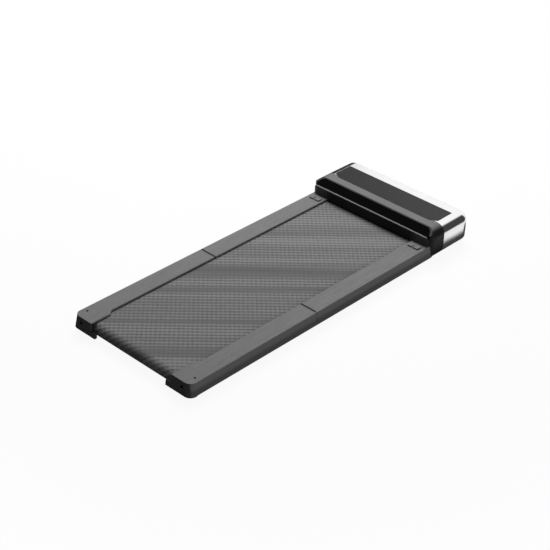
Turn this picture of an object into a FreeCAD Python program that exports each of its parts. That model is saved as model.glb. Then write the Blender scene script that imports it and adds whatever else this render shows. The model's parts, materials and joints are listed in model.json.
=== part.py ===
import FreeCAD, Part
import Sketcher

import math
import os
import re

# Folding walking pad. Millimetres, +Z up from the floor, +Y towards the head, +X to the right.
# The origin lies on the floor under the middle of the pad.

doc = FreeCAD.newDocument("walking_pad")
Vector = FreeCAD.Vector
SIDES = {"left": "-1", "right": "1"}

# Driving dimensions
SIZES = {
    # Outline of the deck
    "overall_length": 1410,
    "seam_from_tail": 583,
    "seam_gap": 1.6,
    # How far a cutting tool runs past the face that it cuts
    "overshoot": 1,
    # Side rails
    "rail_bottom": 18,
    "rail_height": 49,
    "rail_width": 70,
    "rail_plate": 5.5,
    "rail_wall": 5,
    "rail_edge": 2.5,
    "rail_splay": 6,
    "rail_tuck": 20,
    "tail_cap_reach": 14,
    "tail_cap_length": 87,
    "tail_cap_slant": 19,
    "tail_corner": 26,
    "end_plate": 5,
    "end_plate_cover": 1.2,
    "toe_reach": 22,
    "toe_height": 19,
    "plug_inset": 20,
    "plug_from_tail": 45,
    "plug_diameter": 8,
    "plug_gap": 0.2,
    "plug_depth": 0.6,
    # Fold bumpers on the front rails
    "bumper_width": 46,
    "bumper_length": 24,
    "bumper_height": 4.7,
    "bumper_inset": 38,
    "bumper_from_head": 20,
    "bumper_corner": 4,
    "bumper_notch": 7,
    # Running belt, rollers and deck boards
    "belt_width": 415,
    "belt_thickness": 2,
    "belt_recess": 9,
    "belt_tuck": 4,
    "belt_clearance": 0.3,
    "belt_joint": 0.4,
    "roller_diameter": 45,
    "roller_overhang": 0.5,
    "roller_chamfer": 1,
    "rear_roller_from_tail": 41,
    "front_roller_in_head": 32,
    "axle_diameter": 15,
    "bearing_diameter": 32,
    "bearing_width": 11,
    "running_clearance": 0.05,
    "deck_thickness": 15,
    "deck_to_roller": 12,
    "deck_to_belt_edge": 1,
    "deck_edge": 4,
    "cushion_diameter": 30,
    "cushion_inset": 45,
    # Frame tubes and cross members
    "tube_width": 30,
    "tube_inset": 21.5,
    "tube_wall": 2.5,
    "tube_in_head": 150,
    "cross_width": 25,
    "cross_height": 16,
    "cross_wall": 2,
    "cross_margin": 60,
    # Fold hinge
    "hinge_lift": 0.6,
    "knuckle_diameter": 5,
    "hinge_pin_diameter": 2.6,
    "knuckle_gap": 0.4,
    "knuckle_relief": 0.5,
    "leaf_thickness": 2,
    "leaf_margin": 5,
    "web_depth": 4,
    # Feet and wheels
    "foot_diameter": 30,
    "foot_taper": 3,
    "foot_from_end": 95,
    "wheel_diameter": 38,
    "wheel_width": 20,
    "wheel_lift": 1,
    "wheel_inset": 32,
    "wheel_from_end": 32,
    "wheel_axle_diameter": 8,
    "wheel_gap": 2,
    "tread_inset": 3,
    "tread_depth": 5,
    "tread_chamfer": 1.5,
    "ear_thickness": 4,
    "ear_diameter": 14,
    "ear_setback": 2,
    # Head shells
    "head_length": 234,
    "head_height": 127.5,
    "head_overhang": 9,
    "shell_wall": 3.5,
    "shell_joint": 0.6,
    "crown_radius": 38,
    "sill_radius": 15,
    "back_corner": 39,
    "nose_corner": 30,
    "visor_rise": 23.5,
    "visor_depth": 34,
    "visor_room": 20,
    "bezel_depth": 78,
    "panel_from_head": 68,
    "panel_from_back": 66,
    "panel_inset": 39.5,
    "panel_corner": 30,
    "panel_corner_depth": 18,
    "panel_depth": 2,
    "panel_gap": 0.5,
    "mouth_inset": 11.5,
    "mouth_corner": 30,
    "lens_thickness": 3,
    "lens_recess": 1.5,
    "fit_gap": 0.3,
    "brow_margin": 3,
    "fascia_inset": 1.5,
    "fascia_thickness": 7,
    "fascia_corner": 12,
    "fascia_overhang": 5,
    "fascia_gap": 3,
    "lip_round": 4.5,
    "base_thickness": 3,
    "base_margin": 26,
    "base_from_belt": 8,
    # Display board
    "board_length": 180,
    "board_width": 26,
    "board_thickness": 1.6,
    "digit_length": 24,
    "digit_width": 20,
    "digit_pitch": 34,
    "digit_depth": 3,
    # Drive
    "motor_headroom": 21.5,
    "motor_floor": 34,
    "motor_length": 130,
    "motor_from_pulley": 12,
    "motor_shaft_diameter": 10,
    "motor_boss_diameter": 32,
    "motor_boss_length": 4,
    "motor_bell_step": 1.5,
    "motor_bell_chamfer": 4,
    "motor_bell_length": 20,
    "shaft_setback": 1,
    "roller_pulley_diameter": 40,
    "motor_pulley_diameter": 24,
    "pulley_width": 12,
    "pulley_lip": 2,
    "pulley_flange": 1.2,
    "pulley_clearance": 1.5,
    "drive_belt_width": 9,
    "drive_belt_thickness": 2,
    "plate_thickness": 3,
    "plate_setback": 12,
    "plate_to_wheel": 6,
    "motor_margin": 2,
    "cradle_length": 80,
    "cradle_width": 46,
    "controller_length": 118,
    "controller_height": 36,
    "controller_margin": 8,
    "controller_from_tube": 49,
    "fin_height": 12,
    "fin_thickness": 2.5,
    "fin_pitch": 9,
    # Power inlet and switch
    "back_panel_width": 130,
    "back_panel_height": 36,
    "back_panel_thickness": 3,
    "back_panel_height_above_floor": 52,
    "inlet_offset": 28,
    "inlet_width": 34,
    "inlet_height": 26,
    "inlet_depth": 22,
    "inlet_flange": 2.5,
    "inlet_wall": 2,
    "socket_width": 25,
    "socket_height": 17.5,
    "socket_depth": 17,
    "socket_corner": 4.4,
    "pin_width": 4,
    "pin_height": 2,
    "pin_length": 12,
    "pin_pitch": 7,
    "pin_stagger": 1.75,
    "switch_width": 28,
    "switch_height": 20,
    "switch_depth": 16,
    "switch_rim_side": 3,
    "switch_rim_top": 2,
    "switch_rim_depth": 2,
    "rocker_width": 19,
    "rocker_height": 11,
    "rocker_radius": 11,
    "rocker_gap": 0.4,
    "rocker_room": 1.2,
    "rocker_tail": 4,
    "rocker_taper": 1,
    "rocker_crest": 0.6,
    "rocker_dip": 0.4,
    "pivot_diameter": 3,
    "pivot_grip": 1,
    # Belt tension at the tail
    "block_length": 28,
    "bar_end": 4,
    "block_clearance": 0.3,
    "tension_screw_diameter": 8,
    "tension_head_diameter": 13,
    "tension_head_length": 8,
    "tension_head_room": 0.5,
    "tension_head_setback": 3,
    "tension_screw_lift": 2.5,
    "tension_screw_end": 2,
    "hex_key": 6,
    "tension_travel": 8,
    # Screws under the head
    "screw_head_diameter": 8,
    "screw_head_height": 2,
    "screw_margin": 14,
}

# Places worked out from the driving dimensions
PLACES = {
    "tail_y": "-overall_length / 2",
    "back_y": "overall_length / 2",
    "head_y": "back_y - head_length",
    "seam_y": "tail_y + seam_from_tail",
    "belt_half": "belt_width / 2",
    "rail_in": "belt_half - belt_tuck",
    "rail_out": "rail_in + rail_width",
    "rail_foot": "rail_out + rail_splay",
    "rail_top": "rail_bottom + rail_height",
    "tail_top": "tail_y + rail_splay",
    "cap_back": "tail_top + end_plate",
    "cover_z": "rail_top - end_plate_cover",
    "skirt_in": "rail_out - rail_wall",
    "cap_in": "rail_in - tail_cap_reach",
    "plate_bottom": "rail_top - rail_plate",
    "belt_top": "rail_top - belt_recess",
    "roller_radius": "roller_diameter / 2",
    "roller_half": "belt_half + roller_overhang",
    "belt_radius": "roller_radius + belt_thickness",
    "axis_z": "belt_top - belt_radius",
    "belt_low": "axis_z - belt_radius",
    "rear_roller_y": "tail_y + rear_roller_from_tail",
    "front_roller_y": "head_y + front_roller_in_head",
    "deck_top": "belt_top - belt_thickness - belt_clearance",
    "deck_low": "deck_top - deck_thickness",
    "tube_out": "rail_out - tube_inset",
    "tube_in": "tube_out - tube_width",
    "tube_mid": "tube_out - tube_width / 2",
    "tube_low": "rail_bottom + base_thickness",
    "cross_top": "tube_low + cross_height",
    "hinge_z": "rail_top + hinge_lift",
    "knuckle_radius": "knuckle_diameter / 2",
    "leaf_top": "hinge_z - knuckle_radius - knuckle_relief",
    "head_out": "rail_out + head_overhang",
    "mouth_half": "head_out - mouth_inset",
    "fascia_half": "mouth_half - fascia_inset",
    "panel_half": "head_out - panel_inset",
    "panel_y": "head_y + panel_from_head",
    "panel_far": "back_y - panel_from_back",
    "panel_z": "head_height - panel_depth",
    "wheel_x": "tube_in - wheel_inset",
    "wheel_y": "back_y - wheel_from_end",
    "wheel_z": "wheel_diameter / 2 + wheel_lift",
    "wheel_in": "wheel_x - wheel_width / 2 - wheel_gap",
    "wheel_out": "wheel_x + wheel_width / 2 + wheel_gap",
    "wheel_room": "wheel_diameter / 2 + wheel_gap",
    "bezel_y": "head_y + bezel_depth",
    "base_half": "head_out - base_margin",
    "base_y": "front_roller_y + belt_radius + base_from_belt",
    "base_far": "back_y - base_margin",
    "base_top": "rail_bottom + base_thickness",
    "plate_y": "base_y + plate_setback",
    "plate_far": "wheel_y - wheel_room - plate_to_wheel",
    "plate_top": "tube_low + plate_thickness",
    "motor_diameter": "head_height - motor_headroom - motor_floor",
    "motor_radius": "motor_diameter / 2",
    "motor_height": "motor_floor + motor_radius",
    "motor_y": "plate_far - motor_radius - motor_margin",
    "motor_left": "-roller_half + motor_from_pulley",
    "motor_right": "motor_left + motor_length",
    "pulley_out": "roller_half + pulley_width",
    "pulley_mid": "roller_half + pulley_width / 2",
    "back_face": "back_y - shell_wall",
    "back_panel_z": "back_panel_height_above_floor",
    "bar_y": "tail_top + tension_head_setback + tension_head_length",
    "screw_z": "axis_z + axle_diameter / 2 + tension_screw_diameter / 2 + tension_screw_lift",
    "lip_height": "head_height - visor_rise",
    "visor_slope": "sqrt(pow(visor_rise; 2) + pow(visor_depth; 2))",
    "lip_turn": "(visor_slope - visor_rise) / visor_depth",
    "brow_turn": "(visor_slope - visor_depth) / visor_rise",
    "board_lift": "lens_recess + lens_thickness + fit_gap",
    "controller_right": "tube_in - controller_from_tube",
    "controller_left": "controller_right - controller_length",
}


def make_sheet(name, rows):
    """A sheet with one named cell per row."""
    sheet = doc.addObject("Spreadsheet::Sheet", name)
    for row, (alias, content) in enumerate(rows.items(), 1):
        cell = f"B{row}"
        sheet.set(f"A{row}", alias)
        sheet.set(cell, content)
        sheet.setAlias(cell, alias)
    doc.recompute()
    return sheet


def link(formula):
    """Point each size or place named in a formula at its cell."""
    def cell(match):
        word = match.group()
        if word in SIZES:
            return f"dims.{word}"
        if word in PLACES:
            return f"places.{word}"
        return word
    return re.sub(r"[a-z_]+", cell, formula)


def place_cell(formula):
    """A place is a formula on the sizes and on other places of its own sheet."""
    def cell(match):
        word = match.group()
        return f"dims.{word}" if word in SIZES else word
    return "=" + re.sub(r"[a-z_]+", cell, formula)


dims = make_sheet("dims", {alias: str(size) for alias, size in SIZES.items()})
places = make_sheet("places", {alias: place_cell(formula) for alias, formula in PLACES.items()})


def number(alias):
    """The present value of a size or place."""
    sheet = dims if alias in SIZES else places
    return float(sheet.get(alias))


def bind(item, prop, formula):
    item.setExpression(prop, link(formula))


def span(sign, inner, outer):
    """Low and high x of a stretch on one side of the middle plane."""
    if sign == "1":
        return (inner, outer)
    return (f"-({outer})", f"-({inner})")


def about(middle, half):
    """Low and high ends of a stretch about its middle."""
    return (f"{middle} - ({half})", f"{middle} + ({half})")


def past(stretch):
    """The same stretch with the overshoot of a cutting tool at both ends."""
    low, high = stretch
    return (f"{low} - overshoot", f"{high} + overshoot")


def grown(stretch, gap):
    """The same stretch with a gap added at both ends."""
    low, high = stretch
    return (f"{low} - {gap}", f"{high} + {gap}")


def box(name, x, y, z):
    """A block between two planes on each axis."""
    block = doc.addObject("Part::Box", name)
    for prop, axis, (low, high) in (("Length", "x", x), ("Width", "y", y), ("Height", "z", z)):
        bind(block, prop, f"({high}) - ({low})")
        bind(block, f"Placement.Base.{axis}", low)
    return block


AXIS_TURNS = {
    "x": FreeCAD.Rotation(Vector(0, 1, 0), 90),
    "y": FreeCAD.Rotation(Vector(1, 0, 0), -90),
    "z": FreeCAD.Rotation(),
}


def rod(name, axis, centre, diameter, along):
    """A round bar along one axis; centre gives the other two coordinates in order."""
    bar = doc.addObject("Part::Cylinder", name)
    bar.Placement = FreeCAD.Placement(Vector(), AXIS_TURNS[axis])
    others = [letter for letter in "xyz" if letter != axis]
    low, high = along
    bind(bar, "Radius", f"({diameter}) / 2")
    bind(bar, "Height", f"({high}) - ({low})")
    bind(bar, f"Placement.Base.{axis}", low)
    for letter, formula in zip(others, centre):
        bind(bar, f"Placement.Base.{letter}", formula)
    return bar


def joined(name, *pieces):
    """Several solids fused into one."""
    fuse = doc.addObject("Part::MultiFuse", name)
    fuse.Shapes = list(pieces)
    fuse.Refine = True
    return fuse


def group(name, *pieces):
    """Separate solids kept in one node."""
    bundle = doc.addObject("Part::Compound", name)
    bundle.Links = list(pieces)
    return bundle


def trimmed(name, base, *tools):
    """A solid with the tools cut away."""
    cut = doc.addObject("Part::Cut", name)
    cut.Base = base
    cut.Tool = tools[0] if len(tools) == 1 else joined(f"{name}_tools", *tools)
    return cut


def shared(name, *pieces):
    """What several solids have in common."""
    common = doc.addObject("Part::MultiCommon", name)
    common.Shapes = list(pieces)
    return common


def tube(name, axis, centre, outer, inner, along):
    """A round tube."""
    return trimmed(name, rod(f"{name}_outer", axis, centre, outer, along),
                   rod(f"{name}_bore", axis, centre, inner, along))


PLANES = {"z": "XY_Plane", "y": "XZ_Plane", "x": "YZ_Plane"}
START_RADIUS = 100
START_LIFT = 200


def outline_sketch(body, name, axis, corners):
    """A closed straight-sided sketch with each corner held by its two formulas."""
    sketch = body.newObject("Sketcher::SketchObject", name)
    plane = next(item for item in body.Origin.OriginFeatures if item.Role == PLANES[axis])
    sketch.AttachmentSupport = (plane, [""])
    sketch.MapMode = "FlatFace"
    count = len(corners)
    ring = []
    for step in range(count):
        turn = 2 * math.pi * step / count
        ring.append(Vector(START_RADIUS * math.cos(turn), START_LIFT + START_RADIUS * math.sin(turn), 0))
    for step in range(count):
        sketch.addGeometry(Part.LineSegment(ring[step], ring[(step + 1) % count]), False)
    for step in range(count):
        sketch.addConstraint(Sketcher.Constraint("Coincident", step, 2, (step + 1) % count, 1))
    for step, (across, up, *_) in enumerate(corners):
        start = ring[step]
        for kind, formula, value in (("DistanceX", across, start.x), ("DistanceY", up, start.y)):
            label = f"{kind}_{step}"
            index = sketch.addConstraint(Sketcher.Constraint(kind, -1, 1, step, 1, value))
            sketch.renameConstraint(index, label)
            bind(sketch, f"Constraints.{label}", formula)
    return sketch


def rounded(body, name, edges, radius):
    """Round some edges of a body's last feature."""
    base = body.Tip
    rounding = body.newObject("PartDesign::Fillet", name)
    rounding.Base = (base, edges)
    bind(rounding, "Radius", radius)
    doc.recompute()
    body.Tip = rounding


def profile(name, axis, corners, along):
    """A pad of a straight-sided outline along one axis, as a body.

    Each corner is a pair of formulas, with a third for the radius of a rounded corner.
    """
    body = doc.addObject("PartDesign::Body", name)
    sketch = outline_sketch(body, f"{name}_sketch", axis, corners)
    low, high = along
    bind(sketch, "AttachmentOffset.Base.z", f"-({high})" if axis == "y" else low)
    pad = body.newObject("PartDesign::Pad", f"{name}_pad")
    pad.Profile = sketch
    bind(pad, "Length", f"({high}) - ({low})")
    doc.recompute()
    radii = {}
    for step, (_, _, *radius) in enumerate(corners):
        for formula in radius:
            radii.setdefault(formula, []).append(sketch.Geometry[step].StartPoint)
    for order, (radius, points) in enumerate(radii.items()):
        rounded(body, f"{name}_rounding{order}", edges_at(body.Tip.Shape, axis, points), radius)
    return body


TOUCH = 0.01


def edges_at(shape, axis, points):
    """Names of the edges along an axis that pass through the given sketch points."""
    flat = {"x": lambda p: (p.y, p.z), "y": lambda p: (p.x, p.z), "z": lambda p: (p.x, p.y)}[axis]
    names = []
    for order, edge in enumerate(shape.Edges, 1):
        first, last = edge.Vertexes[0].Point, edge.Vertexes[-1].Point
        if math.dist(flat(first), flat(last)) > TOUCH:
            continue
        if any(math.dist(flat(first), (point.x, point.y)) < TOUCH for point in points):
            names.append(f"Edge{order}")
    return names


def rising_edges(shape, corner):
    """Names of the edges that rise from a corner out of its level."""
    names = []
    for order, edge in enumerate(shape.Edges, 1):
        ends = [vertex.Point for vertex in edge.Vertexes]
        rise = abs(ends[0].z - ends[-1].z)
        if rise > TOUCH and any(point.distanceToPoint(corner) < TOUCH for point in ends):
            names.append(f"Edge{order}")
    return names


def face_edges(shape, axis, level, wanted):
    """Names of the edges in the plane at one level of an axis that have a wanted end."""
    names = []
    for order, edge in enumerate(shape.Edges, 1):
        ends = [vertex.Point for vertex in edge.Vertexes]
        in_plane = all(abs(getattr(point, axis) - level) < TOUCH for point in ends)
        if in_plane and any(wanted(point) for point in ends):
            names.append(f"Edge{order}")
    return names


def revolved(name, axis_y, axis_z, outline):
    """A turned solid about an axis along x; the outline gives x and radius of each corner."""
    body = doc.addObject("PartDesign::Body", name)
    sketch = outline_sketch(body, f"{name}_sketch", "z", outline)
    bind(sketch, "AttachmentOffset.Base.y", axis_y)
    bind(sketch, "AttachmentOffset.Base.z", axis_z)
    turn = body.newObject("PartDesign::Revolution", f"{name}_turn")
    turn.Profile = sketch
    turn.ReferenceAxis = (sketch, ["H_Axis"])
    turn.Angle = 360
    doc.recompute()
    return body


parts = {}


def keep(node, item):
    """Name a finished sub-part."""
    item.Label = node
    parts[node] = item
    return item


def hollow_bar(name, axis, x, y, z, wall):
    """A rectangular steel tube, open at both ends."""
    limits = {"x": x, "y": y, "z": z}
    bore = {}
    for letter, (low, high) in limits.items():
        step = "-overshoot" if letter == axis else wall
        bore[letter] = (f"{low} + ({step})", f"{high} - ({step})")
    outside = box(f"{name}_outside", x, y, z)
    return trimmed(name, outside, box(f"{name}_inside", bore["x"], bore["y"], bore["z"]))


def front_frame():
    """Side tubes of the front half, bored for the roller axle."""
    for side, sign in SIDES.items():
        x = span(sign, "tube_in", "tube_out")
        y = ("seam_y + seam_gap / 2 + leaf_thickness", "head_y + tube_in_head")
        bar = hollow_bar(f"front_bar_{side}", "y", x, y, ("tube_low", "plate_bottom"), "tube_wall")
        bore_x = past(span(sign, "tube_in", "tube_in + tube_wall"))
        bore = rod(f"front_bar_bore_{side}", "x", ("front_roller_y", "axis_z"),
                   "axle_diameter + 2 * running_clearance", bore_x)
        keep(f"front_frame_{side}", trimmed(f"front_bar_bored_{side}", bar, bore))


def rear_frame():
    """Side tubes of the rear half, closed at the tail and slotted for the roller axle."""
    for side, sign in SIDES.items():
        x = span(sign, "tube_in", "tube_out")
        y = ("bar_y", "seam_y - seam_gap / 2 - leaf_thickness")
        z = ("tube_low", "plate_bottom")
        bar = hollow_bar(f"rear_bar_{side}", "y", x, y, z, "tube_wall")
        end_y = ("bar_y", "bar_y + bar_end")
        end = box(f"rear_bar_end_{side}", x, end_y, z)
        slot = box(f"rear_bar_slot_{side}", past(span(sign, "tube_in", "tube_in + tube_wall")),
                   about("rear_roller_y", "axle_diameter / 2 + tension_travel"),
                   about("axis_z", "axle_diameter / 2 + block_clearance"))
        hole = rod(f"rear_bar_hole_{side}", "y", (f"{sign} * tube_mid", "screw_z"),
                   "tension_screw_diameter + 2 * running_clearance", past(end_y))
        closed = joined(f"rear_bar_closed_{side}", bar, end)
        keep(f"rear_frame_{side}", trimmed(f"rear_bar_cut_{side}", closed, slot, hole))


CROSS_SHARES = (0, 0.5, 1)


def cross_members(half, first, last):
    """Three tubes across one half, inside the belt loop, with deck cushions on them."""
    bars = []
    pads = []
    for order, share in enumerate(CROSS_SHARES):
        middle = f"({first}) + ({share}) * (({last}) - ({first}))"
        bars.append(hollow_bar(f"{half}_cross_{order}", "x", ("-tube_in", "tube_in"),
                               about(middle, "cross_width / 2"), ("tube_low", "cross_top"), "cross_wall"))
        for side, sign in SIDES.items():
            pads.append(rod(f"{half}_cushion_{order}_{side}", "z",
                            (f"{sign} * (belt_half - cushion_inset)", middle),
                            "cushion_diameter", ("cross_top", "deck_low")))
    keep(f"{half}_cross_members", group(f"{half}_crosses", *bars))
    keep(f"{half}_deck_cushions", group(f"{half}_pads", *pads))


def deck_boards():
    """Running boards under the belt, rounded where the belt runs on and off the rollers."""
    reach = "belt_half - deck_to_belt_edge"
    ends = {
        "front": ("seam_y + seam_gap", "front_roller_y - roller_radius - deck_to_roller"),
        "rear": ("seam_y - seam_gap", "rear_roller_y + roller_radius + deck_to_roller"),
    }
    for half, (seam, end) in ends.items():
        side = [(seam, "deck_low"), (seam, "deck_top"), (end, "deck_top", "deck_edge"), (end, "deck_low")]
        keep(f"{half}_deck", profile(f"{half}_board", "x", side, (f"-({reach})", reach)))


def hinge_slot(name, sign):
    """Room across a rail's top plate for the hinge barrel and leaves."""
    return box(name, span(sign, "rail_in - overshoot", "skirt_in"),
               about("seam_y", "knuckle_radius + knuckle_relief"), past(("plate_bottom", "rail_top")))


def rail_section(sign, inner):
    """Angle section of a side rail: the top plate and the outer skirt, which splays towards the floor."""
    return [(f"{sign} * {inner}", "rail_top"), (f"{sign} * rail_out", "rail_top", "rail_edge"),
            (f"{sign} * rail_foot", "rail_bottom", "rail_edge"),
            (f"{sign} * (rail_foot - rail_wall)", "rail_bottom"),
            (f"{sign} * skirt_in", "plate_bottom"), (f"{sign} * {inner}", "plate_bottom")]


def front_rails():
    """Angle-section rails of the front half, tucked into the head."""
    for side, sign in SIDES.items():
        rail = profile(f"front_rail_body_{side}", "y", rail_section(sign, "rail_in"),
                       ("seam_y + seam_gap / 2", "head_y + rail_tuck"))
        slot = hinge_slot(f"front_slot_{side}", sign)
        keep(f"front_rail_{side}", trimmed(f"front_rail_cut_{side}", rail, slot))


def tail_block(side, sign):
    """The outer limits of a rear rail, leaning in from the floor, with its tail corner rounded."""
    inside = f"{sign} * (cap_in - rail_width)"
    outside = f"{sign} * rail_foot"
    foot = [(inside, "tail_y"), (outside, "tail_y"), (outside, "seam_y"), (inside, "seam_y")]
    body = doc.addObject("PartDesign::Body", f"tail_block_{side}")
    sketch = outline_sketch(body, f"tail_foot_{side}", "z", foot)
    bind(sketch, "AttachmentOffset.Base.z", "rail_bottom")
    pad = body.newObject("PartDesign::Pad", f"tail_lean_{side}")
    pad.Profile = sketch
    pad.UseCustomVector = True
    pad.AlongSketchNormal = True
    for letter, formula in (("x", f"-({sign}) * rail_splay"), ("y", "rail_splay"), ("z", "rail_height")):
        bind(pad, f"Direction.{letter}", formula)
    bind(pad, "Length", "rail_height")
    doc.recompute()
    corner = Vector(float(sign) * number("rail_foot"), number("tail_y"), number("rail_bottom"))
    rounded(body, f"tail_rounding_{side}", rising_edges(pad.Shape, corner), "tail_corner")
    return body


def rear_rails():
    """Rails of the rear half, with the wider tail that covers the belt edge, and their end plates."""
    plugs = []
    seam = "seam_y - seam_gap / 2"
    for side, sign in SIDES.items():
        clear = f"{sign} * (rail_foot + overshoot)"
        plan = [(clear, seam), (clear, "tail_y - overshoot"),
                (f"{sign} * cap_in", "tail_y - overshoot"), (f"{sign} * cap_in", "tail_y + tail_cap_length"),
                (f"{sign} * rail_in", "tail_y + tail_cap_length + tail_cap_slant"),
                (f"{sign} * rail_in", seam)]
        limits = tail_block(side, sign)
        footprint = profile(f"rear_plan_{side}", "z", plan, ("rail_bottom", "rail_top"))
        angle = profile(f"rear_angle_{side}", "y", rail_section(sign, "cap_in"), ("tail_y", seam))
        post = box(f"corner_room_{side}", span(sign, "skirt_in - tail_corner / 2", "rail_foot"),
                   ("cap_back", "tail_top + tail_corner"), ("rail_bottom", "rail_top - rail_edge"))
        rail = joined(f"rear_rail_body_{side}", shared(f"rear_shell_{side}", limits, footprint, angle),
                      shared(f"corner_post_{side}", limits, post))
        slot = hinge_slot(f"rear_slot_{side}", sign)
        end_room = box(f"end_room_{side}", past(span(sign, "cap_in", "rail_foot")),
                       ("tail_y - overshoot", "cap_back"), ("rail_bottom - overshoot", "cover_z"))
        plug_at = (f"{sign} * (rail_out - plug_inset)", "tail_y + plug_from_tail")
        hole = rod(f"plug_hole_{side}", "z", plug_at, "plug_diameter + 2 * plug_gap",
                   past(("plate_bottom", "rail_top")))
        plugs.append(rod(f"plug_{side}", "z", plug_at, "plug_diameter",
                         ("plate_bottom", "rail_top - plug_depth")))
        keep(f"rear_rail_{side}", trimmed(f"rear_rail_cut_{side}", rail, slot, end_room, hole))
        toe_in, toe_top = f"{sign} * (cap_in - toe_reach)", "rail_bottom + toe_height"
        face = [(f"{sign} * cap_in", "cover_z"), (f"{sign} * rail_foot", "cover_z"),
                (f"{sign} * rail_foot", "rail_bottom", "rail_edge"), (toe_in, "rail_bottom"),
                (toe_in, toe_top), (f"{sign} * cap_in", toe_top)]
        cover = shared(f"end_cover_{side}", limits,
                       profile(f"end_face_{side}", "y", face, ("tail_y", "cap_back")))
        key_hole = rod(f"key_hole_{side}", "y", (f"{sign} * tube_mid", "screw_z"),
                       "tension_head_diameter + 2 * tension_head_room", past(("tail_y", "cap_back")))
        keep(f"tail_end_plate_{side}", trimmed(f"end_cover_cut_{side}", cover, key_hole))
    keep("rail_plugs", group("plugs", *plugs))


def fold_bumpers():
    """Raised pads on the front rails that carry the folded tail."""
    pads = []
    near, far = "head_y - bumper_from_head - bumper_length", "head_y - bumper_from_head"
    for side, sign in SIDES.items():
        middle = f"{sign} * (rail_out - bumper_inset)"
        low, high = about(middle, "bumper_width / 2")
        outline = [(low, near, "bumper_corner"), (high, near, "bumper_corner"),
                   (high, far, "bumper_corner"), (low, far, "bumper_corner")]
        pad = profile(f"bumper_{side}", "z", outline, ("rail_top", "rail_top + bumper_height"))
        notch = box(f"bumper_notch_{side}", about(middle, "bumper_notch / 2"),
                    (f"{near} - overshoot", f"{near} + bumper_length / 2"),
                    ("rail_top + bumper_height / 2", "rail_top + bumper_height + overshoot"))
        pads.append(trimmed(f"bumper_cut_{side}", pad, notch))
    keep("fold_bumpers", group("bumpers", *pads))


def fold_hinges():
    """Butt hinges in the seam: the front leaf has the outer knuckles, the rear leaf the middle one."""
    pins = []
    axis = ("seam_y", "hinge_z")
    start = "rail_in + knuckle_gap"
    third = "(rail_width - rail_wall - 2 * knuckle_gap) / 3"
    stretches = {"front": (("0", third), (f"2 * ({third})", f"3 * ({third})")),
                 "rear": ((f"{third} + knuckle_gap", f"2 * ({third}) - knuckle_gap"),)}
    faces = {"front": "seam_y + seam_gap / 2", "rear": "seam_y - seam_gap / 2 - leaf_thickness"}
    for side, sign in SIDES.items():
        for half, near in faces.items():
            y = (near, f"{near} + leaf_thickness")
            plate_x = span(sign, "rail_in + leaf_margin", "skirt_in - leaf_margin")
            solids = [box(f"{half}_leaf_plate_{side}", plate_x, y, ("tube_low", "leaf_top"))]
            for order, (low, high) in enumerate(stretches[half]):
                x = span(sign, f"{start} + {low}", f"{start} + {high}")
                solids.append(box(f"{half}_web_{side}_{order}", x, y, ("leaf_top - web_depth", "hinge_z")))
                solids.append(rod(f"{half}_knuckle_{side}_{order}", "x", axis, "knuckle_diameter", x))
            leaf = joined(f"{half}_leaf_{side}", *solids)
            bore = rod(f"{half}_leaf_bore_{side}", "x", axis, "hinge_pin_diameter + 2 * running_clearance",
                       past(span(sign, "rail_in", "rail_out")))
            keep(f"{half}_hinge_leaf_{side}", trimmed(f"{half}_leaf_bored_{side}", leaf, bore))
        pins.append(rod(f"hinge_pin_{side}", "x", axis, "hinge_pin_diameter",
                        span(sign, start, f"{start} + 3 * ({third})")))
    keep("hinge_pins", group("pins", *pins))


def running_belt():
    """The belt, as the half on each side of the seam."""
    across = ("-belt_half", "belt_half")
    halves = {
        "front": ("front_roller_y", ("seam_y + belt_joint / 2", "front_roller_y"),
                  ("front_roller_y", "front_roller_y + 2 * belt_radius")),
        "rear": ("rear_roller_y", ("rear_roller_y", "seam_y - belt_joint / 2"),
                 ("rear_roller_y - 2 * belt_radius", "rear_roller_y")),
    }
    for half, (roller, run, turn) in halves.items():
        ring = tube(f"{half}_wrap", "x", (roller, "axis_z"), "2 * belt_radius", "roller_diameter", across)
        bend = shared(f"{half}_bend", ring, box(f"{half}_bend_room", across, turn, ("0", "2 * belt_top")))
        upper = box(f"{half}_upper_run", across, run, ("belt_top - belt_thickness", "belt_top"))
        lower = box(f"{half}_lower_run", across, run, ("belt_low", "belt_low + belt_thickness"))
        keep(f"belt_{half}", joined(f"{half}_belt", upper, lower, bend))


def rollers():
    """Drums on bearings, each round a fixed axle."""
    rim = "roller_radius - belt_clearance"
    seat = "bearing_diameter / 2"
    outline = [("-roller_half", seat), ("-roller_half", f"{rim} - roller_chamfer"),
               ("-roller_half + roller_chamfer", rim), ("roller_half - roller_chamfer", rim),
               ("roller_half", f"{rim} - roller_chamfer"), ("roller_half", seat)]
    reach = "tube_out - tube_wall - block_clearance"
    for half in ("front", "rear"):
        centre = (f"{half}_roller_y", "axis_z")
        keep(f"{half}_roller", revolved(f"{half}_drum", *centre, outline))
        races = []
        for side, sign in SIDES.items():
            x = span(sign, "roller_half - bearing_width", "roller_half")
            races.append(tube(f"{half}_race_{side}", "x", centre, "bearing_diameter - 2 * running_clearance",
                              "axle_diameter + 2 * running_clearance", x))
        keep(f"{half}_roller_bearings", group(f"{half}_races", *races))
        keep(f"{half}_roller_axle", rod(f"{half}_axle", "x", centre, "axle_diameter", (f"-({reach})", reach)))


HEX_SIDES = 6


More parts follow.
